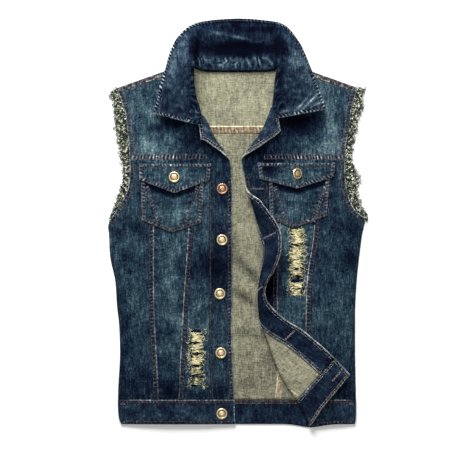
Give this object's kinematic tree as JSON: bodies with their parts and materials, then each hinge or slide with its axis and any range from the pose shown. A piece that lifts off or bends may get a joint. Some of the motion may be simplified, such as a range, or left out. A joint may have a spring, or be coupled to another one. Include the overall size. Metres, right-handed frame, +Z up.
{
  "type": "denim vest",
  "caption": "Sleeveless denim vest laid flat with its collar opened out, one front edge and lower corner turned outwards, frayed armholes, flap pockets and worn rips.",
  "frame": {"origin": "centre of the bounding box at its underside, on the surface that the vest lies on", "axes": "+Z up from the surface, +Y towards the collar, +X towards the wearer's left, which is the viewer's right from above"},
  "size_m": [0.456, 0.7144, 0.0367],
  "materials": {
    "denim": "washed blue denim twill, matte, worn pale along the seams",
    "dark_denim": "less washed dark blue denim twill, matte",
    "denim_inside": "inside of the denim, beige weft side, matte",
    "raw_yarn": "loose undyed cotton yarn with some blue warp, matte",
    "button_metal": "pale aged copper and brass, satin"
  },
  "bodies": {
    "root": {"back_yoke": "denim", "back_centre": "denim_inside", "back_side_right": "denim_inside", "back_side_left": "denim_inside", "waistband_back": "dark_denim", "front_yoke_right": "denim", "front_yoke_left": "denim", "front_centre_right": "denim", "front_centre_left": "denim", "front_mid_right": "denim", "front_mid_left": "denim", "front_side_right": "denim", "front_side_left": "denim", "placket_right": "denim", "placket_left": "denim", "facing_right": "dark_denim", "facing_left": "dark_denim", "waistband_right": "dark_denim", "waistband_left": "dark_denim", "pocket_right": "denim", "pocket_left": "denim", "flap_right": "denim", "flap_left": "denim", "collar": "dark_denim", "placket_button_1": "button_metal", "placket_button_2": "button_metal", "placket_button_3": "button_metal", "placket_button_4": "button_metal", "placket_button_5": "button_metal", "flap_button_right": "button_metal", "flap_button_left": "button_metal", "fray_front_right": "raw_yarn", "fray_back_right": "raw_yarn", "fray_front_left": "raw_yarn", "fray_back_left": "raw_yarn"}
  },
  "joints": []
}
